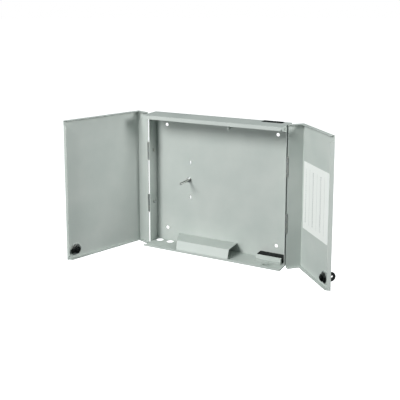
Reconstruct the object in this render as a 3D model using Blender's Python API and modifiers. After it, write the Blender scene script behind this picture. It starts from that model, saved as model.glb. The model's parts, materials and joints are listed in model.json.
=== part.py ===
"""Wall-mount two-door fibre termination box, shown with both doors swung open.

Metres, +Z up. The back panel's rear face is the plane y = 0 and the box faces -Y.
The origin is the centre of that rear face. Every object is one real piece.
"""
import math

import bmesh
import bpy
from mathutils import Matrix, Vector

MM = 0.001

# ---------------------------------------------------------------- driving dimensions (mm)
WIDTH = 325.0            # housing, outside
HEIGHT = 300.0
DEPTH = 60.0
SHEET = 1.2              # steel sheet
HALF_WALL = 31.5         # the side walls stop at about half the depth
TOP_LIP = 8.0            # front lip, turned down from the top
SHELF_LIP = 4.5          # front lip, turned up from the shelf
GAP = 0.3                # between pieces that touch

DOOR_LAP = 0.8           # clearance of the door pans round the housing
DOOR_FLANGE = 9.0
DOOR_STANDOFF = 6.0      # outer face of a closed door in front of the lips
LEFT_DOOR = 196.0        # width of each front panel
RIGHT_DOOR = 131.5
LEFT_OPEN = 111.0        # opening of each door as built, degrees from closed
RIGHT_OPEN = 133.5

HOLE_X, HOLE_TOP, HOLE_LOW = 133.0, 272.0, 30.0      # wall-screw holes, from the box floor
WALL_HOLE = 7.5
ENTRY_HOLE = 16.5        # round cable entries at the back of the shelf
ENTRY_X = (-148.5, -121.5)
ENTRY_Y = -10.8

TAB_RIVET_Y = -44.0
STUD_X, STUD_Z, STUD_LONG, STUD_R = -77.0, 150.0, 43.0, 2.4
SLOT_X, SLOT_GAP = -73.5, 40.0

DUCT_LEFT, DUCT_RIGHT = -85.0, 42.0
DUCT_TOP = 21.0
DUCT_EDGE, DUCT_FOOT = -46.0, -54.5

SEAL_LEFT, SEAL_RIGHT = 97.0, 158.0
SEAL_TOP = 13.5
TOP_SEAL = (102.0, 147.0)

HINGE_OUT, HINGE_IN = 2.1, -1.0       # pin axis outside the wall, and a little behind its edge
HINGE_R, PIN_R = 1.8, 0.9
HINGE_HEIGHTS = (92.0, 213.0)
HINGE_LONG = 40.0

LATCH_FROM_EDGE = 20.0
LATCH_Z = 18.0
LATCH_R = 7.6
BARREL = 7.0             # latch barrel, behind the door panel
CAM = 2.2

FLOOR = -HEIGHT / 2      # the housing's underside
HALF = WIDTH / 2
AXIS_X = HALF + HINGE_OUT
TAB_RIVET_Z = FLOOR + HEIGHT - 6.0
AXIS_Y = -HALF_WALL - HINGE_IN
FRONT = -DEPTH - DOOR_STANDOFF

# ---------------------------------------------------------------- scene
for item in list(bpy.data.objects):
    bpy.data.objects.remove(item, do_unlink=True)

parts = bpy.data.collections.new("fiber_termination_box")
tools = bpy.data.collections.new("cutters")
bpy.context.scene.collection.children.link(parts)
bpy.context.scene.collection.children.link(tools)


def material(name, colour, roughness, metallic):
    made = bpy.data.materials.new(name)
    made.use_nodes = True
    shader = made.node_tree.nodes["Principled BSDF"]
    shader.inputs["Base Color"].default_value = (*colour, 1.0)
    shader.inputs["Roughness"].default_value = roughness
    shader.inputs["Metallic"].default_value = metallic
    return made


PAINT = material("grey_powder_coat", (0.55, 0.59, 0.56), 0.42, 0.0)
ZINC = material("zinc_plated_steel", (0.62, 0.63, 0.62), 0.35, 1.0)
FOAM = material("black_foam", (0.012, 0.013, 0.013), 0.95, 0.0)
NYLON = material("black_nylon", (0.015, 0.016, 0.016), 0.5, 0.0)
BLACK_STEEL = material("blackened_steel", (0.03, 0.032, 0.032), 0.4, 1.0)
PAPER = material("white_paper", (0.86, 0.86, 0.85), 0.7, 0.0)


# ---------------------------------------------------------------- shapes
def finish(name, bm, look, parent=None, cutter=False):
    """Turn a bmesh drawn in millimetres into an object in metres."""
    bmesh.ops.scale(bm, vec=(MM, MM, MM), verts=bm.verts)
    bmesh.ops.recalc_face_normals(bm, faces=bm.faces)
    mesh = bpy.data.meshes.new(name)
    bm.to_mesh(mesh)
    bm.free()
    made = bpy.data.objects.new(name, mesh)
    if cutter:
        tools.objects.link(made)
        made.hide_render = True
        made.display_type = "WIRE"
    else:
        parts.objects.link(made)
        mesh.materials.append(look)
    made.parent = parent
    return made


def add_box(bm, low, high):
    """A block between two corners, given in either order."""
    middle = [(a + b) / 2 for a, b in zip(low, high)]
    span = [abs(b - a) for a, b in zip(low, high)]
    where = Matrix.Translation(middle) @ Matrix.Diagonal((*span, 1.0))
    bmesh.ops.create_cube(bm, size=1.0, matrix=where)


def add_rod(bm, start, end, radius, sides=32, tip=None, turn=0.0):
    """A cylinder, or a cone where tip is given, between two points."""
    start, end = Vector(start), Vector(end)
    aim = (end - start).to_track_quat("Z", "Y").to_matrix().to_4x4()
    where = Matrix.Translation((start + end) / 2) @ aim @ Matrix.Rotation(turn, 4, "Z")
    bmesh.ops.create_cone(
        bm, cap_ends=True, segments=sides, radius1=radius,
        radius2=radius if tip is None else tip, depth=(end - start).length, matrix=where,
    )


def block(name, low, high, look=None, parent=None, cutter=False):
    bm = bmesh.new()
    add_box(bm, low, high)
    return finish(name, bm, look, parent, cutter)


def rod(name, start, end, radius, look=None, parent=None, cutter=False, sides=32, tip=None, turn=0.0):
    bm = bmesh.new()
    add_rod(bm, start, end, radius, sides, tip, turn)
    return finish(name, bm, look, parent, cutter)


def combine(piece, other, how):
    step = piece.modifiers.new(other.name, "BOOLEAN")
    step.operation = how
    step.solver = "EXACT"
    step.object = other


def cut(piece, *cutters):
    for one in cutters:
        combine(piece, one, "DIFFERENCE")


def join(piece, *others):
    for one in others:
        combine(piece, one, "UNION")


def round_shading(piece):
    piece.data.shade_smooth()
    piece.data.set_sharp_from_angle(angle=math.radians(35))


# ---------------------------------------------------------------- housing
def make_side_tab():
    """Tapered tab that runs on from the right wall to the top lip."""
    bm = bmesh.new()
    top = FLOOR + HEIGHT
    add_box(bm, (HALF - SHEET, -HALF_WALL + 2, top - 14.5), (HALF, -DEPTH + SHEET + 0.8, top - SHEET / 2))
    for corner in bm.verts:
        if corner.co.y < -45 and corner.co.z < top - 10:
            corner.co.z = top - 8.5
    return finish("add_side_tab", bm, None, cutter=True)


def make_housing():
    """Back, top, shelf and the two half-depth side walls of one bent sheet."""
    inner, low, high = HALF - SHEET, FLOOR + SHEET, FLOOR + HEIGHT - SHEET
    body = block("housing", (-HALF, -DEPTH, FLOOR), (HALF, 0, FLOOR + HEIGHT), PAINT)
    cut(body, block("cut_cavity", (-inner, -DEPTH + SHEET, low), (inner, -SHEET, high), cutter=True))
    cut(body, block("cut_front", (-200, -90, FLOOR + SHELF_LIP),
                    (200, -DEPTH + 2 * SHEET, FLOOR + HEIGHT - TOP_LIP), cutter=True))
    for side in (-1, 1):
        cut(body, block("cut_side", (side * (inner - 1), -DEPTH + SHEET, low),
                        (side * 200, -HALF_WALL, high), cutter=True))
        mitre = block("cut_lip_mitre", (-6, -4, -6), (6, 4, 6), cutter=True)
        mitre.location = Vector((side * (HALF + 2.0), -DEPTH, FLOOR + HEIGHT - TOP_LIP - 2.0)) * MM
        mitre.rotation_euler.y = math.radians(45)
        cut(body, mitre)

    strip = block("add_shelf_strip", (HALF - 6.5, -DEPTH + SHEET / 2, FLOOR + SHEET / 2),
                  (HALF, -HALF_WALL + 2, FLOOR + 2 * SHEET), cutter=True)
    join(body, strip)
    join(body, make_side_tab())
    cut(body, rod("cut_rivet_hole", (HALF - 5, TAB_RIVET_Y, TAB_RIVET_Z), (HALF + 5, TAB_RIVET_Y, TAB_RIVET_Z),
                  1.9, cutter=True),
        rod("cut_rivet_countersink", (HALF - 1.1, TAB_RIVET_Y, TAB_RIVET_Z),
            (HALF + 0.4, TAB_RIVET_Y, TAB_RIVET_Z), 1.9, cutter=True, tip=3.8))

    for x in (-HOLE_X, HOLE_X):
        for z in (HOLE_LOW, HOLE_TOP):
            cut(body, rod("cut_wall_hole", (x, -9, FLOOR + z), (x, 9, FLOOR + z), WALL_HOLE / 2, cutter=True))
    cut(body, rod("cut_stud_hole", (STUD_X, -9, FLOOR + STUD_Z), (STUD_X, 9, FLOOR + STUD_Z),
                  STUD_R + GAP, cutter=True))
    for offset in (-SLOT_GAP, SLOT_GAP):
        middle = FLOOR + STUD_Z + offset
        cut(body, block("cut_strap_slot", (SLOT_X - 1.3, -9, middle - 3.6),
                        (SLOT_X + 1.3, 9, middle + 3.6), cutter=True))
    for x in ENTRY_X:
        cut(body, rod("cut_cable_entry", (x, ENTRY_Y, FLOOR - 5), (x, ENTRY_Y, FLOOR + 5),
                      ENTRY_HOLE / 2, cutter=True, sides=40))
    cut(body, block("cut_shelf_notch", (SEAL_LEFT + 3, -17.5, FLOOR - 5),
                    (SEAL_RIGHT - 3, -SHEET, FLOOR + 5), cutter=True))
    cut(body, block("cut_top_notch", (TOP_SEAL[0] - GAP, -19.0, FLOOR + HEIGHT - 5),
                    (TOP_SEAL[1] + GAP, -SHEET, FLOOR + HEIGHT + 5), cutter=True))
    for side in (-1, 1):
        for z in HINGE_HEIGHTS:
            cut(body, rod("cut_hinge_screw_hole", (side * (HALF - 9), -15, FLOOR + z),
                          (side * (HALF + 9), -15, FLOOR + z), 2.3, cutter=True, sides=24))
    return body


def make_duct():
    """Bent cover on the shelf: sloping front, flat top, flange down the back panel."""
    rows = [(DUCT_FOOT + 7, SHEET + GAP), (DUCT_FOOT, SHEET + GAP), (DUCT_EDGE, DUCT_TOP),
            (-SHEET - GAP, DUCT_TOP), (-SHEET - GAP, DUCT_TOP - 8)]
    bm = bmesh.new()
    line = [bm.verts.new((DUCT_LEFT - 30, y, FLOOR + z)) for y, z in rows]
    for first, second in zip(line, line[1:]):
        bm.edges.new((first, second))
    swept = bmesh.ops.extrude_edge_only(bm, edges=bm.edges)
    moved = [part for part in swept["geom"] if isinstance(part, bmesh.types.BMVert)]
    bmesh.ops.translate(bm, verts=moved, vec=(DUCT_RIGHT - DUCT_LEFT + 30, 0, 0))
    duct = finish("cable_duct", bm, PAINT)
    sheet = duct.modifiers.new("sheet", "SOLIDIFY")
    sheet.thickness = SHEET * MM
    sheet.use_even_offset = True
    # the skin is drawn on the duct's outside; the sheet must grow towards its hollow
    top_face = max(duct.data.polygons, key=lambda face: face.center.z)
    sheet.offset = -1.0 if top_face.normal.z > 0 else 1.0
    slant = block("cut_duct_slant", (-60, -90, FLOOR - 5), (0, 90, FLOOR + 40), cutter=True)
    slant.location = Vector((DUCT_LEFT, DUCT_EDGE, 0)) * MM
    slant.rotation_euler.z = math.radians(23)
    cut(duct, slant)
    return duct


def make_lip_gusset():
    """Small web that stiffens the top lip where the doors meet, rising a little towards the back."""
    bm = bmesh.new()
    top = FLOOR + HEIGHT - SHEET - GAP
    rear, front = -24.0, -DEPTH + SHEET + GAP
    add_box(bm, (43.0, rear, FLOOR + 283.5), (43.0 + SHEET, front, top))
    for corner in bm.verts:
        if corner.co.y > -40 and corner.co.z < top - 1:
            corner.co.z = FLOOR + 287.0
    return finish("top_lip_gusset", bm, PAINT)


def make_seals():
    block("lower_cable_seal", (SEAL_LEFT, -19.2, FLOOR + SHEET + GAP),
          (SEAL_RIGHT, -SHEET - GAP, FLOOR + SEAL_TOP), FOAM)
    block("upper_cable_seal", (TOP_SEAL[0], -19.0 + GAP, FLOOR + HEIGHT - 9.0),
          (TOP_SEAL[1], -SHEET - GAP, FLOOR + HEIGHT + 0.8), FOAM)


def make_seal_retainer():
    """Angle in front of the lower seal, with a short return at its right end."""
    low = FLOOR + SHEET + GAP
    left, right, rear = SEAL_LEFT - 3.0, SEAL_RIGHT - 5.5, -19.5
    piece = block("seal_retainer", (left, rear - SHEET, low), (right, rear, FLOOR + 12.0), PAINT)
    foot = block("add_retainer_foot", (left, rear - 11.0, low), (right, rear - SHEET / 2, low + SHEET), cutter=True)
    tail = block("add_retainer_return", (right - SHEET, rear - 8.0, low + SHEET / 2),
                 (right, rear - SHEET / 2, FLOOR + 12.0), cutter=True)
    join(piece, foot, tail)
    return piece


def make_tie_anchor():
    """Arched strap welded to the shelf, for the cable tie that holds the leads."""
    low, x, y = FLOOR + SHEET + GAP, 125.0, -43.5
    piece = block("cable_tie_anchor", (x - 8, y - 3, low), (x + 8, y + 3, low + 3.6), PAINT)
    cut(piece, block("cut_anchor_window", (x - 4.5, y - 6, low - 1), (x + 4.5, y + 6, low + 2.5), cutter=True))
    for side in (-1, 1):
        cut(piece, block("cut_anchor_step", (x + side * 5.6, y - 6, low + 1.1),
                         (x + side * 12, y + 6, low + 9), cutter=True))
    return piece


def make_splice_stud():
    middle = FLOOR + STUD_Z
    stud = rod("splice_tray_stud", (STUD_X, -STUD_LONG, middle), (STUD_X, -0.4, middle), STUD_R, ZINC)
    washer = rod("splice_stud_washer", (STUD_X, -SHEET - GAP - 1.0, middle), (STUD_X, -SHEET - GAP, middle), 6.0, ZINC)
    nut = rod("splice_stud_nut", (STUD_X, -7.0, middle), (STUD_X, -SHEET - 2 * GAP - 1.0, middle),
              4.6, ZINC, sides=6)
    for piece in (washer, nut):
        cut(piece, rod("cut_stud_bore", (STUD_X, -20, middle), (STUD_X, 5, middle), STUD_R + GAP, cutter=True))
    round_shading(stud)


def make_tab_rivet():
    """Countersunk rivet in the side tab, flush outside so that the door clears it."""
    y, z = TAB_RIVET_Y, TAB_RIVET_Z
    rivet = rod("side_tab_rivet", (HALF - 4.0, y, z), (HALF, y, z), 1.55, ZINC, sides=24)
    join(rivet,
         rod("add_rivet_flush_head", (HALF - 0.8, y, z), (HALF + 0.1, y, z), 1.96, cutter=True, tip=3.1),
         rod("add_rivet_set_head", (HALF - 4.0, y, z), (HALF - SHEET - GAP, y, z), 2.4, cutter=True, tip=3.2))
    return rivet


# ---------------------------------------------------------------- doors
def hinge_frame(name, side, opened):
    """Empty on a door's hinge axis, turned by the door's opening angle."""
    pivot = bpy.data.objects.new(name, None)
    parts.objects.link(pivot)
    pivot.location = Vector((side * AXIS_X, AXIS_Y, 0)) * MM
    pivot.rotation_euler.z = side * math.radians(opened)
    return pivot


def make_door(name, side, width, pivot):
    """Shallow pan with a deep hinge side; drawn closed, measured from the hinge axis."""
    outer = side * (HALF + DOOR_LAP + SHEET - AXIS_X)
    free = outer - side * width
    front, rear = FRONT - AXIS_Y, -0.4
    low, high = FLOOR - DOOR_LAP - SHEET, FLOOR + HEIGHT + DOOR_LAP + SHEET
    inward = -side
    door = block(name, (outer, front, low), (free, rear, high), PAINT, pivot)
    cut(door, block("cut_pan", (outer + inward * SHEET, front + SHEET, low + SHEET),
                    (free - inward * SHEET, 90, high - SHEET), parent=pivot, cutter=True))
    cut(door, block("cut_flange_depth", (outer + inward * DOOR_FLANGE, front + DOOR_FLANGE, low - 9),
                    (free + inward * 40, 90, high + 9), parent=pivot, cutter=True))
    for z in (low, high):
        reach = DOOR_FLANGE + 4
        mitre = rod("cut_flange_mitre", (free, front + SHEET, z), (free, front + SHEET + reach, z),
                    0.001, parent=pivot, cutter=True, sides=4, tip=reach * math.sqrt(2), turn=math.radians(45))
        cut(door, mitre)
    # the free-edge flange stops short so that it passes between the housing's lips
    for bottom, top in ((low - 1, FLOOR + SHELF_LIP + 0.8), (FLOOR + HEIGHT - TOP_LIP - 0.8, high + 1)):
        cut(door, block("cut_flange_relief", (free + inward, front + SHEET, bottom),
                        (free - inward * (SHEET + 1.6), 90, top), parent=pivot, cutter=True))
    # the hinge side reaches back to the axis, notched where the hinge barrels turn
    for height in HINGE_HEIGHTS:
        reach = HINGE_LONG / 2 + 2.0
        cut(door, block("cut_hinge_notch", (outer - inward * 5, -3.0, FLOOR + height - reach),
                        (outer + inward * 5, 5, FLOOR + height + reach), parent=pivot, cutter=True))
    x = free - inward * LATCH_FROM_EDGE
    cut(door, rod("cut_latch_hole", (x, front - 5, FLOOR + LATCH_Z), (x, front + 5, FLOOR + LATCH_Z),
                  LATCH_R + GAP, parent=pivot, cutter=True))
    return x, front


def make_latch(prefix, side, pivot, x, front):
    """Quarter-turn latch: fixed bush and nut, turning grip, cam and cam screw."""
    z = FLOOR + LATCH_Z
    inner = front + SHEET
    bush = rod(prefix + "_latch_bush", (x, front - GAP - 2.2, z), (x, front - GAP, z), 9.5, NYLON, pivot)
    barrel = rod("add_latch_barrel", (x, front - GAP - 1.0, z), (x, inner + BARREL, z), LATCH_R, parent=pivot, cutter=True)
    join(bush, barrel)
    cut(bush, rod("cut_latch_bore", (x, front - 9, z), (x, inner + 19, z), 3.6, parent=pivot, cutter=True))
    nut = rod(prefix + "_latch_nut", (x, inner + GAP, z), (x, inner + 4.3, z), 12.7, ZINC, pivot, sides=6,
              turn=math.radians(30))
    cut(nut, rod("cut_latch_nut_bore", (x, front - 9, z), (x, inner + 19, z), LATCH_R + GAP, parent=pivot, cutter=True))

    turner = bpy.data.objects.new(prefix + "_latch_axis", None)
    parts.objects.link(turner)
    turner.parent = pivot
    turner.location = Vector((x, front, z)) * MM
    grip = rod(prefix + "_latch_grip", (0, -GAP - 4.7, 0), (0, -GAP - 2.5, 0), 8.0, NYLON, turner)
    seat = SHEET + BARREL + GAP
    shaft = rod("add_grip_shaft", (0, -GAP - 3.5, 0), (0, seat + CAM, 0), 3.3, parent=turner, cutter=True)
    wing = rod("add_grip_wing", (-2.0, -10.5, 0), (2.0, -10.5, 0), 9.5, parent=turner, cutter=True)
    join(grip, shaft, wing)
    cut(grip, block("cut_wing_foot", (-12, -4.2, -12), (12, SHEET, -8.1), parent=turner, cutter=True))
    cut(grip, block("cut_wing_head", (-12, -4.2, 8.1), (12, SHEET, 12), parent=turner, cutter=True))
    cut(grip, block("cut_wing_back", (-3, -GAP - 2.5, 2.4), (3, 5, 12), parent=turner, cutter=True))
    cut(grip, block("cut_wing_back", (-3, -GAP - 2.5, -12), (3, 5, -2.4), parent=turner, cutter=True))
    cut(grip, rod("cut_wing_hole", (-9, -12.5, 0), (9, -12.5, 0), 2.6, parent=turner, cutter=True, sides=24))
    cut(grip, rod("cut_screw_seat", (0, seat - 3.5, 0), (0, seat + 9, 0), 1.8, parent=turner, cutter=True, sides=20))

    away = side
    cam = rod(prefix + "_latch_cam", (0, seat, 0), (0, seat + CAM, 0), 7.2, BLACK_STEEL, turner)
    arm = block("add_cam_arm", (0, seat, -4.8), (-away * 15.0, seat + CAM, 4.8), parent=turner, cutter=True)
    join(cam, arm)
    cut(cam, rod("cut_cam_bore", (0, seat - 5, 0), (0, seat + 9, 0), 3.6, parent=turner, cutter=True))
    screw = rod(prefix + "_cam_screw", (0, seat + CAM + GAP, 0), (0, seat + CAM + 2.3, 0), 5.0, BLACK_STEEL, turner)
    stem = rod("add_screw_stem", (0, seat - 3.0, 0), (0, seat + CAM + 1.2, 0), 1.4, parent=turner, cutter=True, sides=20)
    join(screw, stem)


def make_hinge(prefix, side, pivot, height):
    """Butt hinge: a leaf on the wall, a leaf on the door, the pin, and its screw and nut."""
    z = FLOOR + height
    low, high, third = z - HINGE_LONG / 2, z + HINGE_LONG / 2, HINGE_LONG / 3
    near, far = side * (HALF + GAP), side * (HALF + 1.9)

    wall_leaf = block(prefix + "_hinge_wall_leaf", (near, -5, low), (far, AXIS_Y + 2.0 + GAP, high), ZINC)
    for start in (low, high - third):
        end = start + third - GAP
        join(wall_leaf,
             rod("add_wall_knuckle", (side * AXIS_X, AXIS_Y, start), (side * AXIS_X, AXIS_Y, end), HINGE_R,
                 cutter=True, sides=24),
             block("add_wall_curl", (near, AXIS_Y + 4, start), (far, AXIS_Y, end), cutter=True))
    cut(wall_leaf,
        rod("cut_pin_bore", (side * AXIS_X, AXIS_Y, low - 9), (side * AXIS_X, AXIS_Y, high + 9), PIN_R + 0.1,
            cutter=True, sides=24),
        rod("cut_leaf_screw", (side * (HALF - 9), -15, z), (side * (HALF + 9), -15, z), 2.3, cutter=True, sides=24))

    outside = side * (HALF + DOOR_LAP + SHEET - AXIS_X)
    under, over = outside + side * GAP, outside + side * 1.5
    door_leaf = block(prefix + "_hinge_door_leaf", (under, -3.0, low), (over, -27, high), ZINC, pivot)
    begin, end = low + third, high - third - GAP
    join(door_leaf,
         rod("add_door_knuckle", (0, 0, begin), (0, 0, end), HINGE_R, parent=pivot, cutter=True, sides=24),
         block("add_door_curl", (under, 0, begin), (over, -4, end), parent=pivot, cutter=True))
    cut(door_leaf, rod("cut_door_bore", (0, 0, low - 9), (0, 0, high + 9), PIN_R + 0.1,
                       parent=pivot, cutter=True, sides=24))

    pin = rod(prefix + "_hinge_pin", (side * AXIS_X, AXIS_Y, low - 1.5), (side * AXIS_X, AXIS_Y, high + 1.5),
              PIN_R, ZINC, sides=20)
    round_shading(pin)
    screw = rod(prefix + "_hinge_screw", (side * (HALF - 5.4), -15, z), (side * (HALF + 2.6), -15, z), 1.9, ZINC)
    join(screw, rod("add_screw_head", (side * (HALF + 2.2), -15, z), (side * (HALF + 3.8), -15, z), 3.8,
                    cutter=True, sides=24))
    nut = rod(prefix + "_hinge_nut", (side * (HALF - SHEET - GAP), -15, z), (side * (HALF - SHEET - 3.7), -15, z),
              4.3, ZINC, sides=6)
    cut(nut, rod("cut_nut_bore", (side * (HALF - 12), -15, z), (side * (HALF + 9), -15, z), 2.2,
                 cutter=True, sides=24))


def make_label(pivot):
    """Paper port chart stuck inside the right door."""
    outer = HALF + DOOR_LAP + SHEET - AXIS_X
    face = FRONT - AXIS_Y + SHEET
    block("port_chart_label", (outer - 8.0, face + GAP, FLOOR + 84.0),
          (outer - 118.5, face + GAP + 0.4, FLOOR + 225.5), PAPER, pivot)


make_housing()
make_duct()
make_lip_gusset()
make_seals()
make_seal_retainer()
make_tie_anchor()
make_splice_stud()
make_tab_rivet()
for label, way, wide, opened in (("left", -1, LEFT_DOOR, LEFT_OPEN), ("right", 1, RIGHT_DOOR, RIGHT_OPEN)):
    frame = hinge_frame(label + "_hinge_axis", way, opened)
    latch_x, panel_y = make_door(label + "_door", way, wide, frame)
    make_latch(label, way, frame, latch_x, panel_y)
    for place, level in (("lower", HINGE_HEIGHTS[0]), ("upper", HINGE_HEIGHTS[1])):
        make_hinge(label + "_" + place, way, frame, level)
    if label == "right":
        make_label(frame)
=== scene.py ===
"""Finishes, fine detail, light and camera for a wall-mount fibre termination box with both doors open."""

import json
import math

import bmesh
import bpy
from mathutils import Matrix, Vector


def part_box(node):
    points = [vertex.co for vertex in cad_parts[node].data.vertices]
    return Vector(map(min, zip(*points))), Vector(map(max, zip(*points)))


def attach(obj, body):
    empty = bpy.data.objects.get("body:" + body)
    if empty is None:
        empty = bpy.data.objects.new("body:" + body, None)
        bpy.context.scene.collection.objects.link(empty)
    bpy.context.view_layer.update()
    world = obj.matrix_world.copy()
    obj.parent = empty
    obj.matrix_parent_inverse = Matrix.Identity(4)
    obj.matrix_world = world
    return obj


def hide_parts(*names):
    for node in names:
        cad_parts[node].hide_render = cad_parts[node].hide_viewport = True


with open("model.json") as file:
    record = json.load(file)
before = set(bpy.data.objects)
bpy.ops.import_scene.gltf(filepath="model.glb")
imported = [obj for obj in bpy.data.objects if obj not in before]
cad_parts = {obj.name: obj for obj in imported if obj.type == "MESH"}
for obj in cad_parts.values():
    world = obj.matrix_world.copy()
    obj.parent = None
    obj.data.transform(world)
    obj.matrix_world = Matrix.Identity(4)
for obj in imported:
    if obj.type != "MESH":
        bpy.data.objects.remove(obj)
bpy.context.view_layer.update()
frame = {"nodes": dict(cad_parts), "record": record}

MM = 0.001
UP = Vector((0, 0, 1))

WELD = 0.00002                    # points this close are one point in the solids as drawn
SLIVER = 0.000004                 # points this close are one point after cutting and bevelling
FLAT = math.radians(0.6)          # faces that meet at less than this are one flat face
SHEET, GAP = 1.2 * MM, 0.3 * MM   # steel thickness, and the clearance left between pieces


# ------------------------------------------------------------------ working by hand in edit mode
def deselect():
    if bpy.context.mode != "OBJECT":
        bpy.ops.object.mode_set(mode="OBJECT")
    bpy.ops.object.select_all(action="DESELECT")


def take(piece):
    """Make one piece the only selected and active object."""
    deselect()
    bpy.context.view_layer.objects.active = piece
    piece.select_set(True)


def edit(piece, mode="FACE"):
    take(piece)
    bpy.ops.object.mode_set(mode="EDIT")
    bpy.ops.mesh.select_mode(type=mode)
    bpy.ops.mesh.select_all(action="DESELECT")
    return bmesh.from_edit_mesh(piece.data)


def leave(piece):
    bmesh.update_edit_mesh(piece.data)
    bpy.ops.object.mode_set(mode="OBJECT")


def pick(piece, wanted, mode="FACE"):
    """Select in edit mode the faces or edges for which wanted says yes."""
    mesh = edit(piece, mode)
    for part in mesh.faces if mode == "FACE" else mesh.edges:
        part.select_set(bool(wanted(part)))
    mesh.select_flush_mode()
    bmesh.update_edit_mesh(piece.data)
    return mesh


def use(piece, kind, **settings):
    """Add a modifier, set it and apply it."""
    take(piece)
    step = piece.modifiers.new(kind.lower(), kind)
    for name, value in settings.items():
        setattr(step, name, value)
    bpy.ops.object.modifier_apply(modifier=step.name)


def cylinder(name, start, end, radius, sides=48):
    """A cylinder between two points, placed in its mesh, with its object at the origin."""
    start, end = Vector(start), Vector(end)
    deselect()
    bpy.ops.mesh.primitive_cylinder_add(vertices=sides, radius=radius, depth=(end - start).length)
    piece = bpy.context.object
    piece.name = name
    turn = (end - start).to_track_quat("Z", "Y").to_matrix().to_4x4()
    piece.data.transform(Matrix.Translation((start + end) / 2) @ turn)
    return piece


def brick(name, low, high):
    deselect()
    bpy.ops.mesh.primitive_cube_add(size=1)
    piece = bpy.context.object
    piece.name = name
    low, high = Vector(low), Vector(high)
    size = high - low
    piece.data.transform(Matrix.Translation((low + high) / 2) @ Matrix.Diagonal((*size, 1)))
    mesh = bmesh.new()
    mesh.from_mesh(piece.data)
    bmesh.ops.recalc_face_normals(mesh, faces=mesh.faces)
    mesh.to_mesh(piece.data)
    mesh.free()
    return piece


def carve(piece, tool, how="DIFFERENCE"):
    """Cut, join or trim a piece with a tool shape, which is used up."""
    use(piece, "BOOLEAN", object=tool, operation=how, solver="EXACT")
    bpy.data.objects.remove(tool, do_unlink=True)


def soften(piece, width, segments=2, angle=40):
    """Break every sharp edge by the same small radius."""
    use(piece, "BEVEL", width=width, segments=segments, limit_method="ANGLE", angle_limit=math.radians(angle),
        use_clamp_overlap=True, miter_outer="MITER_ARC")


def tidy(piece):
    """Close up the slivers that cutting and bevelling leave, and split the many-sided faces."""
    edit(piece, "VERT")
    bpy.ops.mesh.select_all(action="SELECT")
    bpy.ops.mesh.remove_doubles(threshold=SLIVER)
    bpy.ops.mesh.dissolve_degenerate(threshold=SLIVER)
    bpy.ops.mesh.quads_convert_to_tris(quad_method="BEAUTY", ngon_method="BEAUTY")
    leave(piece)


def shade(piece, angle=34):
    take(piece)
    bpy.ops.object.shade_smooth_by_angle(angle=math.radians(angle))
    use(piece, "WEIGHTED_NORMAL", keep_sharp=True, weight=60)


def place(piece, pivot, axis):
    """Lay a piece modelled along +Z from the origin onto a point and an outward axis."""
    turn = Vector(axis).to_track_quat("Z", "Y").to_matrix().to_4x4()
    piece.data.transform(Matrix.Translation(pivot) @ turn)


# ------------------------------------------------------------------ colours and nodes
def colour(code):
    """sRGB hex to linear, with alpha."""
    parts = [int(code[i:i + 2], 16) / 255 for i in (0, 2, 4)]
    return tuple(c / 12.92 if c <= 0.04045 else ((c + 0.055) / 1.055) ** 2.4 for c in parts) + (1.0,)


def node(tree, kind, links=(), **settings):
    """Add a node; links are (input, node, output) and settings are inputs or properties by name."""
    made = tree.nodes.new(kind)
    for name, value in settings.items():
        label = name.replace("_", " ")
        if hasattr(made, name):
            setattr(made, name, value)
        else:
            made.inputs[label].default_value = value
    for socket, source, output in links:
        tree.links.new(source.outputs[output], made.inputs[socket])
    return made


def finish(name, base, roughness, metallic=0.0, **sockets):
    """A material with its shader set, ready for its patterns."""
    made = bpy.data.materials.new(name)
    made.use_nodes = True
    tree = made.node_tree
    shader = tree.nodes["Principled BSDF"]
    shader.inputs["Base Color"].default_value = colour(base)
    shader.inputs["Roughness"].default_value = roughness
    shader.inputs["Metallic"].default_value = metallic
    for socket, value in sockets.items():
        shader.inputs[socket.replace("_", " ")].default_value = value
    place_of = node(tree, "ShaderNodeTexCoord")
    return made, tree, shader, place_of


def mixed(tree, first, second, factor, output="Fac"):
    """Two colours mixed by a pattern."""
    mix = node(tree, "ShaderNodeMix", data_type="RGBA")
    mix.inputs[6].default_value = first
    mix.inputs[7].default_value = second
    tree.links.new(factor.outputs[output], mix.inputs[0])
    return mix


def ramp(tree, source, output, low, high, dark=0.0, light=1.0):
    made = node(tree, "ShaderNodeMapRange", [("Value", source, output)], clamp=True)
    made.inputs["From Min"].default_value = low
    made.inputs["From Max"].default_value = high
    made.inputs["To Min"].default_value = dark
    made.inputs["To Max"].default_value = light
    return made


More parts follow.
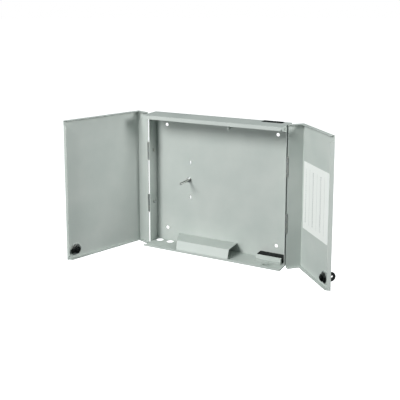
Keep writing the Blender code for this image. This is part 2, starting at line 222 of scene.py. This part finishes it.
def powder_coat():
    """Polyester powder coat on steel: satin grey with the faint orange peel of the baked powder."""
    made, tree, shader, place_of = finish("grey_powder_coat", "C3CAC5", 0.46, Specular_IOR_Level=0.42)
    peel = node(tree, "ShaderNodeTexNoise", [("Vector", place_of, "Object")], Scale=420.0, Detail=3.0, Roughness=0.45)
    grain = node(tree, "ShaderNodeTexNoise", [("Vector", place_of, "Object")], Scale=1600.0, Detail=2.0)
    cloud = node(tree, "ShaderNodeTexNoise", [("Vector", place_of, "Object")], Scale=14.0, Detail=4.0)
    drift = ramp(tree, cloud, "Fac", 0.32, 0.70)
    tint = mixed(tree, colour("BEC6C1"), colour("C8CEC9"), drift, "Result")
    speck = ramp(tree, grain, "Fac", 0.66, 0.74, 0.0, 0.10)
    fine = mixed(tree, (1, 1, 1, 1), colour("A9B0AC"), speck, "Result")
    tree.links.new(tint.outputs[2], fine.inputs[6])
    tree.links.new(fine.outputs[2], shader.inputs["Base Color"])
    rough = ramp(tree, cloud, "Fac", 0.3, 0.7, 0.42, 0.52)
    tree.links.new(rough.outputs["Result"], shader.inputs["Roughness"])
    low = node(tree, "ShaderNodeBump", [("Height", peel, "Fac")], Strength=0.16, Distance=0.00025)
    high = node(tree, "ShaderNodeBump", [("Height", grain, "Fac"), ("Normal", low, "Normal")],
                Strength=0.10, Distance=0.0001)
    tree.links.new(high.outputs["Normal"], shader.inputs["Normal"])
    return made


def zinc_plate():
    """Bright zinc plate: a cool metal with slight clouding and fine rolling marks."""
    made, tree, shader, place_of = finish("bright_zinc_plate", "C9CCCB", 0.3, 1.0)
    cloud = node(tree, "ShaderNodeTexNoise", [("Vector", place_of, "Object")], Scale=180.0, Detail=4.0)
    tint = mixed(tree, colour("BFC4C6"), colour("D6D5CD"), ramp(tree, cloud, "Fac", 0.35, 0.68), "Result")
    tree.links.new(tint.outputs[2], shader.inputs["Base Color"])
    stretch = node(tree, "ShaderNodeMapping", [("Vector", place_of, "Object")])
    stretch.inputs["Scale"].default_value = (900, 900, 6000)
    marks = node(tree, "ShaderNodeTexNoise", [("Vector", stretch, "Vector")], Scale=1.0, Detail=2.0)
    rough = ramp(tree, marks, "Fac", 0.3, 0.7, 0.26, 0.34)
    tree.links.new(rough.outputs["Result"], shader.inputs["Roughness"])
    bump = node(tree, "ShaderNodeBump", [("Height", marks, "Fac")], Strength=0.04, Distance=0.0001)
    tree.links.new(bump.outputs["Normal"], shader.inputs["Normal"])
    return made


def blackened_steel():
    """Chemically blackened steel: dark, dry metal that still shows a soft highlight on its edges."""
    made, tree, shader, place_of = finish("blackened_steel", "2A2D2D", 0.42, 1.0)
    cloud = node(tree, "ShaderNodeTexNoise", [("Vector", place_of, "Object")], Scale=260.0, Detail=4.0)
    tint = mixed(tree, colour("202323"), colour("3A3D3C"), ramp(tree, cloud, "Fac", 0.35, 0.7), "Result")
    tree.links.new(tint.outputs[2], shader.inputs["Base Color"])
    rough = ramp(tree, cloud, "Fac", 0.3, 0.7, 0.36, 0.52)
    tree.links.new(rough.outputs["Result"], shader.inputs["Roughness"])
    grain = node(tree, "ShaderNodeTexNoise", [("Vector", place_of, "Object")], Scale=1900.0, Detail=2.0)
    bump = node(tree, "ShaderNodeBump", [("Height", grain, "Fac")], Strength=0.15, Distance=0.0001)
    tree.links.new(bump.outputs["Normal"], shader.inputs["Normal"])
    return made


def black_nylon():
    """Glass-filled nylon moulding: near black, with a fine spark-eroded grain."""
    made, tree, shader, place_of = finish("black_glass_nylon", "171A1A", 0.5, IOR=1.53)
    grain = node(tree, "ShaderNodeTexNoise", [("Vector", place_of, "Object")], Scale=2200.0, Detail=3.0)
    tint = mixed(tree, colour("121515"), colour("262B2A"), ramp(tree, grain, "Fac", 0.35, 0.75), "Result")
    tree.links.new(tint.outputs[2], shader.inputs["Base Color"])
    rough = ramp(tree, grain, "Fac", 0.3, 0.7, 0.40, 0.58)
    tree.links.new(rough.outputs["Result"], shader.inputs["Roughness"])
    bump = node(tree, "ShaderNodeBump", [("Height", grain, "Fac")], Strength=0.25, Distance=0.0001)
    tree.links.new(bump.outputs["Normal"], shader.inputs["Normal"])
    return made


def black_foam():
    """Cut closed-cell foam: dull black, its surface a field of opened cells about 1 mm across."""
    made, tree, shader, place_of = finish("black_closed_cell_foam", "0D1010", 0.95, IOR=1.45)
    cells = node(tree, "ShaderNodeTexVoronoi", [("Vector", place_of, "Object")], Scale=1050.0)
    small = node(tree, "ShaderNodeTexVoronoi", [("Vector", place_of, "Object")], Scale=2300.0)
    # Painted shade: the opened cells are coloured darker towards their centres, where the bump below sinks them into
    # pits
    tint = mixed(tree, colour("060808"), colour("1C2120"), ramp(tree, cells, "Distance", 0.1, 0.7), "Result")
    tree.links.new(tint.outputs[2], shader.inputs["Base Color"])
    deep = node(tree, "ShaderNodeBump", [("Height", cells, "Distance")], Strength=0.8, Distance=0.0005)
    fine = node(tree, "ShaderNodeBump", [("Height", small, "Distance"), ("Normal", deep, "Normal")],
                Strength=0.4, Distance=0.0002)
    tree.links.new(fine.outputs["Normal"], shader.inputs["Normal"])
    return made


def label_paper():
    """Coated label stock: matt white with a trace of paper fibre."""
    made, tree, shader, place_of = finish("coated_label_paper", "F0F3F0", 0.6, IOR=1.5)
    fibre = node(tree, "ShaderNodeTexNoise", [("Vector", place_of, "Object")], Scale=900.0, Detail=5.0, Roughness=0.6)
    tint = mixed(tree, colour("ECF0EC"), colour("F5F7F4"), ramp(tree, fibre, "Fac", 0.35, 0.65), "Result")
    tree.links.new(tint.outputs[2], shader.inputs["Base Color"])
    bump = node(tree, "ShaderNodeBump", [("Height", fibre, "Fac")], Strength=0.1, Distance=0.0001)
    tree.links.new(bump.outputs["Normal"], shader.inputs["Normal"])
    return made


def label_ink():
    """Toner print: flat mid grey, a little uneven over the paper's fibre."""
    made, tree, shader, place_of = finish("grey_label_print", "5C6365", 0.65)
    fibre = node(tree, "ShaderNodeTexNoise", [("Vector", place_of, "Object")], Scale=1400.0, Detail=3.0)
    tint = mixed(tree, colour("555C5E"), colour("7A8082"), ramp(tree, fibre, "Fac", 0.4, 0.7), "Result")
    tree.links.new(tint.outputs[2], shader.inputs["Base Color"])
    return made


PAINT, ZINC, BLACK, NYLON, FOAM, PAPER, INK = (
    powder_coat(), zinc_plate(), blackened_steel(), black_nylon(), black_foam(), label_paper(), label_ink())
FINISH_OF_SLOT = {"powder_coat": PAINT, "zinc_plate": ZINC, "black_steel": BLACK,
                  "black_nylon": NYLON, "black_foam": FOAM, "label_paper": PAPER}
SLOT_OF = {part["node"]: part["material_slot"] for part in frame["record"]["subparts"]}
BODY_OF = {name: body for body, names in frame["record"]["behaviour"]["bodies"].items() for name in names}


def stand_in(piece, *names, material=None):
    """The finished piece shows instead of these CAD nodes and rides with their body."""
    piece.data.materials.clear()
    piece.data.materials.append(material or FINISH_OF_SLOT[SLOT_OF[names[0]]])
    for face in piece.data.polygons:
        face.material_index = 0
    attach(piece, BODY_OF[names[0]])
    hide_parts(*names)
    return piece


# ------------------------------------------------------------------ folded sheet metal
def copy_of(name):
    """A merged copy of a CAD node, with its flat faces whole again."""
    source = frame["nodes"][name]
    piece = source.copy()
    piece.data = source.data.copy()
    piece.name = name + "_finished"
    piece.parent = None
    piece.matrix_world = Matrix.Identity(4)
    bpy.context.scene.collection.objects.link(piece)
    edit(piece, "VERT")
    bpy.ops.mesh.select_all(action="SELECT")
    bpy.ops.mesh.remove_doubles(threshold=WELD)
    bpy.ops.mesh.dissolve_limited(angle_limit=FLAT)
    leave(piece)
    return piece


def breadth(face, edge):
    return face.calc_area() / max(edge.calc_length(), 1e-6)


def is_fold(edge, hollow):
    """A fold joins two broad faces at an angle; a sheet's cut rim has a face one sheet wide."""
    if len(edge.link_faces) != 2 or edge.calc_length() < 6 * MM:
        return False
    if edge.calc_face_angle(0) < math.radians(50) or edge.is_convex == hollow:
        return False
    return min(breadth(face, edge) for face in edge.link_faces) > 2.4 * MM


def folded_sheet(name, outer=1.5, inner=0.5, rim=0.22):
    """Round a sheet-metal part's folds outside and inside, then break its cut rims."""
    piece = copy_of(name)
    for hollow, radius in ((True, inner), (False, outer)):
        pick(piece, lambda edge: is_fold(edge, hollow), "EDGE")
        bpy.ops.mesh.bevel(offset=radius * MM, offset_type="OFFSET", segments=3, profile=0.5, affect="EDGES",
                           clamp_overlap=True, miter_outer="ARC")
        leave(piece)
    soften(piece, rim * MM, 2, 46)
    tidy(piece)
    shade(piece)
    return stand_in(piece, name)


def softened(name, width=0.2, segments=2):
    """A small solid part with every edge broken."""
    piece = copy_of(name)
    soften(piece, width * MM, segments)
    shade(piece)
    return stand_in(piece, name)


for sheet_part in ("housing", "left_door", "right_door", "cable_duct", "seal_retainer"):
    folded_sheet(sheet_part)
for small_part in [name for name in SLOT_OF if "gusset" in name or "anchor" in name or "leaf" in name
                   or name.endswith(("_pin", "rivet", "washer"))]:
    softened(small_part)


# ------------------------------------------------------------------ threads, nuts and screws
def extent_of(name):
    """The two far corners and the centre of a CAD part."""
    low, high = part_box(name)
    return low, high, (low + high) / 2


def threaded_rod(name, length, radius, pitch, tip=0.6 * MM, sides=40):
    """A rod along +Z drawn up ring by ring, each pitch swelling and narrowing once."""
    depth = pitch * 0.27
    deselect()
    bpy.ops.mesh.primitive_cylinder_add(vertices=sides, radius=radius - depth, depth=tip)
    rod = bpy.context.object
    rod.name = name
    rod.data.transform(Matrix.Translation((0, 0, tip / 2)))
    edit(rod)
    turns = int((length - tip) / pitch)
    for _ in range(turns):
        for factor in (radius / (radius - depth), (radius - depth) / radius):
            mesh = bmesh.from_edit_mesh(rod.data)
            mesh.faces.ensure_lookup_table()
            top = max(mesh.faces, key=lambda face: face.calc_center_median().z)
            for face in mesh.faces:
                face.select_set(face == top)
            bmesh.update_edit_mesh(rod.data)
            bpy.ops.mesh.extrude_region_move(TRANSFORM_OT_translate={"value": (0, 0, pitch / 2)})
            bpy.ops.transform.resize(value=(factor, factor, 1), center_override=(0, 0, 0))
    leave(rod)
    return rod


def hex_nut(name, across, thick, bore, sides=48):
    """A hexagon along +Z with its corners turned off at both ends, bored and countersunk."""
    corner = across / 2 / math.cos(math.pi / 6)
    nut = cylinder(name, (0, 0, 0), (0, 0, thick), corner, 6)
    pick(nut, lambda edge: abs(edge.verts[0].co.z - edge.verts[1].co.z) > thick / 2, "EDGE")
    bpy.ops.mesh.bevel(offset=0.03 * across, segments=3, affect="EDGES")
    leave(nut)
    blank = cylinder("turned_blank", (0, 0, 0), (0, 0, thick), corner * 0.995, sides)
    pick(blank, lambda edge: abs(edge.verts[0].co.z - edge.verts[1].co.z) < thick / 2, "EDGE")
    bpy.ops.mesh.bevel(offset=min(0.32 * thick, 0.14 * across), segments=2, profile=0.6, affect="EDGES")
    leave(blank)
    carve(nut, blank, "INTERSECT")
    hole = cylinder("bore", (0, 0, -0.4 * thick), (0, 0, 1.4 * thick), bore, sides)
    carve(nut, hole)
    pick(nut, lambda edge: len(edge.link_faces) == 2 and edge.is_convex and edge.calc_face_angle(0) > 1.2
         and all(abs(v.co.xy.length - bore) < 0.02 * MM for v in edge.verts), "EDGE")
    bpy.ops.mesh.bevel(offset=0.05 * across, segments=2, affect="EDGES", clamp_overlap=True)
    leave(nut)
    return nut


def pan_head(name, radius, height):
    """A domed screw head along +Z with a cross recess."""
    head = cylinder(name, (0, 0, 0), (0, 0, height), radius, 48)
    pick(head, lambda edge: edge.verts[0].co.z > 0.9 * height and edge.verts[1].co.z > 0.9 * height, "EDGE")
    bpy.ops.mesh.bevel(offset=0.55 * height, segments=5, profile=0.6, affect="EDGES")
    leave(head)
    reach, half_slot = 0.55 * radius, 0.12 * radius
    for x, y in ((reach, half_slot), (half_slot, reach)):
        carve(head, brick("cross", (-x, -y, 0.45 * height), (x, y, 2 * height)))
    soften(head, 0.06 * MM, 1, 50)
    return head


def fit_nut(name, axis, across, bore):
    """A hexagon nut in place of a CAD one; across and bore are in millimetres."""
    low, high, middle = extent_of(name)
    thick = max(abs((high - low).dot(Vector(axis))), 0.5 * MM)
    nut = hex_nut(name + "_finished", across * MM, thick, bore * MM)
    place(nut, middle - Vector(axis) * thick / 2, axis)
    shade(nut)
    return stand_in(nut, name)


HEAD = 1.6 * MM    # height of a hinge screw's head

for side, way in (("left", 1), ("right", -1)):
    for level in ("lower", "upper"):
        prefix = f"{side}_{level}_hinge_"
        fit_nut(prefix + "nut", (way, 0, 0), 7.0, 2.2)
        low, high, middle = extent_of(prefix + "screw")
        outward, long = -way, high.x - low.x
        head_end = high.x if outward > 0 else low.x
        screw = pan_head(prefix + "screw_finished", 3.8 * MM, HEAD)
        place(screw, (head_end - outward * HEAD, middle.y, middle.z), (outward, 0, 0))
        shank = threaded_rod("shank", long - 1.7 * MM, 1.9 * MM, 0.7 * MM, sides=28)
        place(shank, (head_end - outward * long, middle.y, middle.z), (outward, 0, 0))
        carve(screw, shank, "UNION")
        shade(screw, 40)
        stand_in(screw, prefix + "screw")

stud_low, stud_high, stud_middle = extent_of("splice_tray_stud")
stud = threaded_rod("splice_tray_stud_finished", stud_high.y - stud_low.y, 2.4 * MM, 0.9 * MM)
place(stud, (stud_middle.x, stud_high.y, stud_middle.z), (0, -1, 0))
shade(stud, 50)
stand_in(stud, "splice_tray_stud")
fit_nut("splice_stud_nut", (0, -1, 0), 8.0, 2.7)

# ------------------------------------------------------------------ quarter-turn latches
JOINTS = {joint["name"]: joint for joint in frame["record"]["behaviour"]["joints"]}


def latch_frame(side):
    """Where a latch drawn along +Z goes at rest, and whether that mirrors it."""
    joint = JOINTS[side + "_latch_turn"]
    hand = 1 if side == "right" else -1
    out = Vector(joint["axis"]) * hand
    free = out.cross(UP) * hand
    pivot = Vector(joint["pos_m"])
    door = frame["nodes"][side + "_door"]
    centre = sum((v.co for v in door.data.vertices), Vector()) / len(door.data.vertices)
    if (centre - pivot).dot(free) > 0:
        free = -free
    turn = Matrix((free, UP, out)).transposed().to_4x4()
    return Matrix.Translation(pivot) @ turn, turn.determinant() < 0


def settle(piece, matrix, mirrored):
    """Put a latch piece in its rest place, with its faces outward again where that mirrors it."""
    piece.data.transform(matrix)
    if mirrored:
        piece.data.flip_normals()
    return piece


BARREL, CAM = 7.0 * MM, 2.2 * MM    # length of the barrel behind the panel, thickness of the cam
CAM_FACE = -(SHEET + BARREL + GAP)  # height of the cam's face towards the barrel; the door's outer face is at 0
SHAFT_BORE = 3.6 * MM


def latch_grip(side):
    """Moulded grip: round collar, upright finger wing with an eye, and the shaft through the door."""
    base = GAP + 2.5 * MM
    grip = cylinder(side + "_latch_grip_finished", (0, 0, base), (0, 0, base + 2.2 * MM), 8.0 * MM, 64)
    wing = cylinder("wing", (-2 * MM, 0, 10.5 * MM), (2 * MM, 0, 10.5 * MM), 9.5 * MM, 72)
    carve(wing, brick("wing_foot", (-9 * MM, -15 * MM, -5 * MM), (9 * MM, 15 * MM, base + 0.3 * MM)))
    for sign in (-1, 1):
        carve(wing, brick("wing_flank", (-9 * MM, sign * 8.1 * MM, -5 * MM), (9 * MM, sign * 15 * MM, 4.2 * MM)))
    carve(wing, cylinder("eye", (-9 * MM, 0, 12.5 * MM), (9 * MM, 0, 12.5 * MM), 2.6 * MM, 32))
    soften(wing, 0.7 * MM, 4, 40)
    carve(grip, wing, "UNION")
    end = CAM_FACE - CAM
    shaft = cylinder("shaft", (0, 0, base + 0.5 * MM), (0, 0, end), 3.3 * MM, 40)
    carve(grip, shaft, "UNION")
    carve(grip, cylinder("screw_hole", (0, 0, end + 5 * MM), (0, 0, end - 5 * MM), 1.8 * MM, 24))
    soften(grip, 0.25 * MM, 2, 50)
    return grip


def latch_bush(side):
    """Flanged barrel through the door, with a thread for the nut behind the panel."""
    bush = cylinder(side + "_latch_bush_finished", (0, 0, GAP), (0, 0, GAP + 2.2 * MM), 9.5 * MM, 64)
    pick(bush, lambda edge: min(v.co.z for v in edge.verts) > GAP + 2 * MM, "EDGE")
    bpy.ops.mesh.bevel(offset=0.8 * MM, segments=4, affect="EDGES")
    leave(bush)
    thread = threaded_rod("barrel_thread", SHEET + BARREL + 1.0 * MM + GAP, 7.6 * MM, 1.0 * MM, sides=64)
    place(thread, (0, 0, -(SHEET + BARREL)), (0, 0, 1))
    carve(bush, thread, "UNION")
    carve(bush, cylinder("bush_bore", (0, 0, -20 * MM), (0, 0, 9 * MM), SHAFT_BORE, 40))
    return bush


def latch_cam(side):
    """Stamped cam: a round boss and a blunt arm, bored for the grip's shaft."""
    top = CAM_FACE
    cam = cylinder(side + "_latch_cam_finished", (0, 0, top), (0, 0, top - CAM), 7.2 * MM, 64)
    arm = brick("cam_arm", (0, -4.8 * MM, top - CAM), (15 * MM, 4.8 * MM, top))
    pick(arm, lambda edge: abs(edge.verts[0].co.z - edge.verts[1].co.z) > 1 * MM
         and edge.verts[0].co.x > 9 * MM, "EDGE")
    bpy.ops.mesh.bevel(offset=2.0 * MM, segments=5, affect="EDGES")
    leave(arm)
    carve(cam, arm, "UNION")
    carve(cam, cylinder("cam_bore", (0, 0, top + 3 * MM), (0, 0, top - 9 * MM), SHAFT_BORE, 32))
    soften(cam, 0.25 * MM, 2, 40)
    return cam


def cam_screw(side):
    """Cross-recess screw that holds the cam on the grip's shaft."""
    top = CAM_FACE - CAM - GAP
    screw = pan_head(side + "_cam_screw_finished", 5.0 * MM, 2.0 * MM)
    place(screw, (0, 0, top), (0, 0, -1))
    stem = cylinder("stem", (0, 0, top - 1.0 * MM), (0, 0, CAM_FACE + 3.0 * MM), 1.4 * MM, 24)
    carve(screw, stem, "UNION")
    return screw


def latch_nut(side):
    """Hexagon nut, 22 mm across its flats, that clamps the barrel to the panel."""
    nut = hex_nut(side + "_latch_nut_finished", 22 * MM, 4.0 * MM, 7.9 * MM, 64)
    nut.data.transform(Matrix.Rotation(math.radians(30), 4, "Z"))
    place(nut, (0, 0, -(SHEET + GAP)), (0, 0, -1))
    return nut


for side in ("left", "right"):
    into_place, mirrored = latch_frame(side)
    for make, name in ((latch_grip, "_latch_grip"), (latch_bush, "_latch_bush"), (latch_nut, "_latch_nut"),
                       (latch_cam, "_latch_cam"), (cam_screw, "_cam_screw")):
        piece = settle(make(side), into_place, mirrored)
        shade(piece, 40)
        stand_in(piece, side + name)


# ------------------------------------------------------------------ foam seals
SLITS = 5


def foam_seal(name):
    """A cut foam block with soft edges, slit half way through so that cables press into it."""
    low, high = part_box(name)
    foam = brick(name + "_finished", low, high)
    soften(foam, 0.6 * MM, 3, 40)
    middle = (low.y + high.y) / 2
    for step in range(1, SLITS + 1):
        station = low.x + (high.x - low.x) * step / (SLITS + 1)
        carve(foam, brick("slit", (station - 0.25 * MM, low.y - 1 * MM, (low.z + high.z) / 2),
                          (station + 0.25 * MM, middle, high.z + 2 * MM)))
    shade(foam)
    return stand_in(foam, name)


foam_seal("lower_cable_seal")
foam_seal("upper_cable_seal")


# ------------------------------------------------------------------ port chart
ROWS = 24
COLUMNS, RULES = (0.10, 0.385, 0.68), (0.245, 0.535, 0.825)    # shares of the label's width
PRINT, PRINT_LIFT = 0.015 * MM, 0.05 * MM


def port_chart():
    """The label's own sheet with soft edges, and its rules and port numbers printed on it."""
    label = copy_of("port_chart_label")
    corners = [v.co.copy() for v in label.data.vertices]
    inward = -Vector(JOINTS["right_latch_turn"]["axis"])
    along = UP.cross(inward).normalized()
    hinge = Vector(JOINTS["right_door_swing"]["pos_m"])
    if (sum(corners, Vector()) / len(corners) - hinge).dot(along) < 0:
        along = -along
    start = min(c.dot(along) for c in corners)
    end = max(c.dot(along) for c in corners)
    face = max(c.dot(inward) for c in corners)
    bottom, top = min(c.z for c in corners), max(c.z for c in corners)
    soften(label, 0.08 * MM, 1, 40)
    shade(label)
    stand_in(label, "port_chart_label")

    reading = along if along.cross(UP).dot(inward) > 0 else -along
    page = Matrix((reading, UP, inward)).transposed().to_4x4()
    prints = []

    def print_on(item, share, z):
        """Lay a number or rule on the sheet, at a share of its width and a height."""
        there = page.copy()
        there.translation = along * (start + (end - start) * share) + inward * (face + PRINT_LIFT) + UP * z
        item.data.transform(there)
        prints.append(item)

    for column, share in enumerate(COLUMNS):
        for row in range(ROWS):
            z = bottom + (top - bottom) * (0.90 - 0.80 * (row + 0.5) / ROWS)
            deselect()
            bpy.ops.object.text_add()
            number = bpy.context.object
            number.data.body = str(column * ROWS + row + 1)
            number.data.size = 4.2 * MM
            number.data.align_x = "CENTER"
            number.data.align_y = "CENTER"
            number.data.resolution_u = 2
            number.data.extrude = PRINT
            bpy.ops.object.convert(target="MESH")
            print_on(number, share, z)
    for share in RULES:
        half = Vector((0.125 * MM, (top - bottom) * 0.41, PRINT))
        print_on(brick("rule", -half, half), share, (top + bottom) / 2)
    deselect()
    for item in prints:
        item.select_set(True)
    bpy.context.view_layer.objects.active = prints[0]
    bpy.ops.object.join()
    printed = bpy.context.object
    printed.name = "port_numbers"
    edit(printed)
    bpy.ops.mesh.select_all(action="SELECT")
    bpy.ops.mesh.remove_doubles(threshold=0.0005 * MM)
    leave(printed)
    printed.data.materials.clear()
    printed.data.materials.append(INK)
    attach(printed, "right_door")


port_chart()

for name, cad in frame["nodes"].items():
    cad.data.materials.clear()
    cad.data.materials.append(FINISH_OF_SLOT[SLOT_OF[name]])


# ------------------------------------------------------------------ studio
AMBIENT = (0.10, 0.22)                      # strength of the room's light from below and from above
# name, place, aim, diameter in metres, watts
SOFTBOXES = (("key_softbox", (-1.02, -2.28, 1.52), (0, 0, 0), 1.2, 64),
             ("low_softbox", (-0.75, -2.60, 0.10), (0, 0, 0), 0.9, 13),
             ("side_softbox", (2.20, -0.35, 1.00), (-0.2, -0.1, 0.05), 0.8, 38))


def studio():
    """Pale floor well below the box, a broad key from the front left, a low front fill and a side light."""
    deselect()
    bpy.ops.mesh.primitive_circle_add(vertices=96, radius=40, fill_type="NGON", location=(0, 0, -0.62))
    floor = bpy.context.object
    floor.name = "studio_floor"
    made = bpy.data.materials.new("pale_studio_floor")
    made.use_nodes = True
    shader = made.node_tree.nodes["Principled BSDF"]
    shader.inputs["Base Color"].default_value = colour("F4F5F5")
    shader.inputs["Roughness"].default_value = 0.9
    shader.inputs["Emission Color"].default_value = (1, 1, 1, 1)
    shader.inputs["Emission Strength"].default_value = 1.0
    floor.data.materials.append(made)
    floor.visible_diffuse = floor.visible_glossy = False

    world = bpy.data.worlds.new("studio_white")
    bpy.context.scene.world = world
    world.use_nodes = True
    tree = world.node_tree
    where = node(tree, "ShaderNodeTexCoord")
    height = node(tree, "ShaderNodeSeparateXYZ", [("Vector", where, "Generated")])
    lift = ramp(tree, height, "Z", -0.3, 0.8, AMBIENT[0], AMBIENT[1])
    sky = tree.nodes["Background"]
    sky.inputs["Color"].default_value = (0.87, 1.0, 1.01, 1)
    tree.links.new(lift.outputs["Result"], sky.inputs["Strength"])
    white = node(tree, "ShaderNodeBackground", Color=(1, 1, 1, 1), Strength=1.0)
    seen = node(tree, "ShaderNodeLightPath")
    both = node(tree, "ShaderNodeMixShader", [(0, seen, "Is Camera Ray"), (1, sky, 0), (2, white, 0)])
    tree.links.new(both.outputs[0], tree.nodes["World Output"].inputs["Surface"])

    for name, spot, aim, size, power in SOFTBOXES:
        light = bpy.data.lights.new(name, "AREA")
        light.shape = "DISK"
        light.size = size
        light.energy = power
        lamp = bpy.data.objects.new(name, light)
        lamp.location = spot
        lamp.rotation_euler = (Vector(aim) - Vector(spot)).to_track_quat("-Z", "Y").to_euler()
        bpy.context.scene.collection.objects.link(lamp)


def camera():
    """From the right and a little above; shift_y only brings the box up in the frame."""
    made = bpy.data.cameras.new("product_camera")
    made.sensor_width = 36
    made.lens = 60.06
    made.shift_y = -0.25
    made.clip_end = 60
    eye = bpy.data.objects.new("product_camera", made)
    turn, dip = math.radians(26.69), math.radians(8.35)
    back = Vector((math.sin(turn) * math.cos(dip), -math.cos(turn) * math.cos(dip), math.sin(dip)))
    eye.location = (0.6015, -1.2960, 0.3960)
    eye.rotation_euler = back.to_track_quat("Z", "Y").to_euler()
    bpy.context.scene.collection.objects.link(eye)
    bpy.context.scene.camera = eye
    bpy.context.scene.view_settings.view_transform = "Standard"


studio()
camera()
